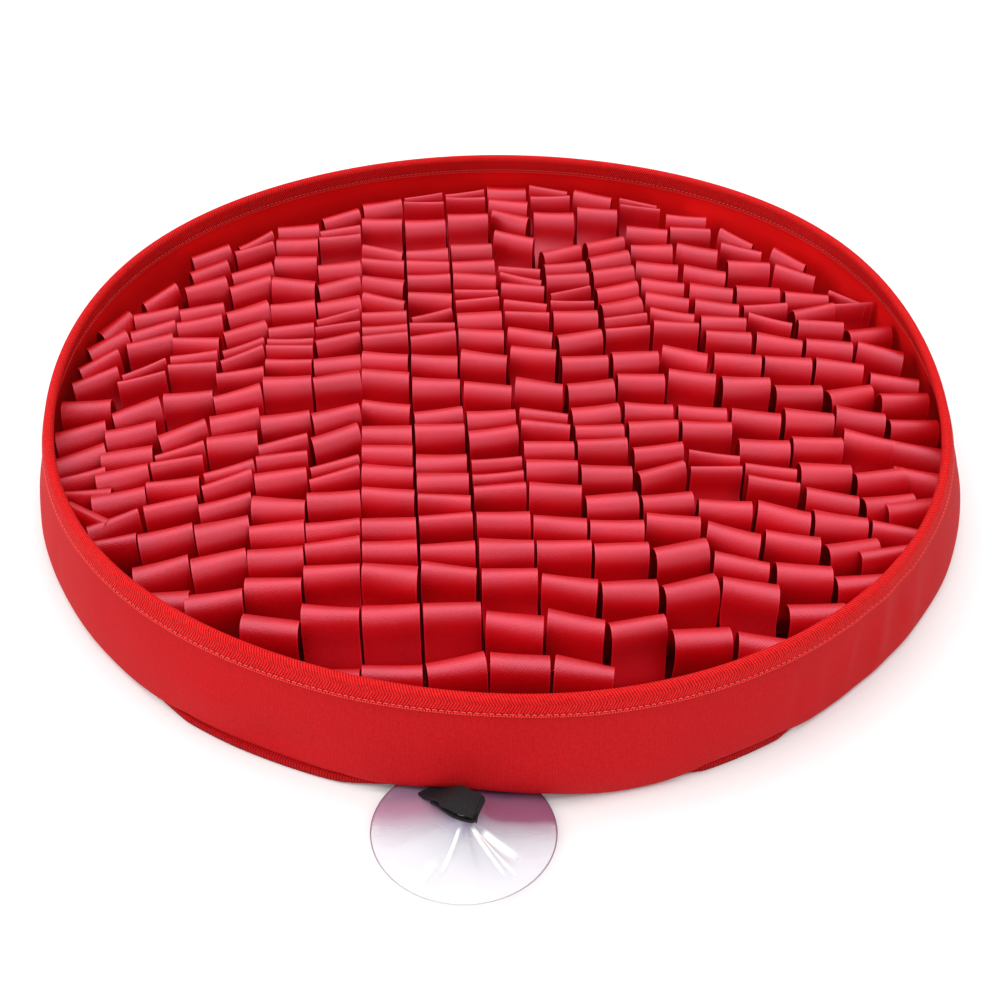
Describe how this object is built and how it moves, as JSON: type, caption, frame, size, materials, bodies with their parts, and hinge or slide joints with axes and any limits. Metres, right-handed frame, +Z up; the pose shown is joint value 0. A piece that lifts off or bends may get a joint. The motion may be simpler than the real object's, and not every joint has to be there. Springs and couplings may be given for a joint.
{
  "type": "snuffle mat",
  "caption": "Round soft-walled cloth tray whose floor is covered with upright ribbon loops, with a suction cup on a short strap at the front.",
  "frame": {"origin": "centre of the floor's flat underside", "axes": "+Z up; the ribbons run along Y; the edge with the suction cup is the front, at -Y"},
  "size_m": [0.4616, 0.5045, 0.053],
  "materials": {
    "floor_cloth": "dark red woven floor cloth",
    "red_oxford": "matt red plain-weave cloth",
    "herringbone_tape": "red herringbone binding tape",
    "seam_tape": "dark red seam tape",
    "satin_ribbon": "red twilled satin with a soft pink sheen",
    "black_webbing": "black woven webbing",
    "clear_vinyl": "clear soft vinyl with a faint purple tint"
  },
  "bodies": {
    "root": {"floor_panel": "floor_cloth", "side_wall": "red_oxford", "top_binding": "herringbone_tape", "seam_binding": "seam_tape", "ribbon_01": "satin_ribbon", "ribbon_02": "satin_ribbon", "ribbon_03": "satin_ribbon", "ribbon_04": "satin_ribbon", "ribbon_05": "satin_ribbon", "ribbon_06": "satin_ribbon", "ribbon_07": "satin_ribbon", "ribbon_08": "satin_ribbon", "ribbon_09": "satin_ribbon", "ribbon_10": "satin_ribbon", "ribbon_11": "satin_ribbon", "ribbon_12": "satin_ribbon", "ribbon_13": "satin_ribbon", "ribbon_14": "satin_ribbon", "ribbon_15": "satin_ribbon", "ribbon_16": "satin_ribbon", "ribbon_17": "satin_ribbon", "cup_strap": "black_webbing", "suction_cup": "clear_vinyl"}
  },
  "joints": []
}
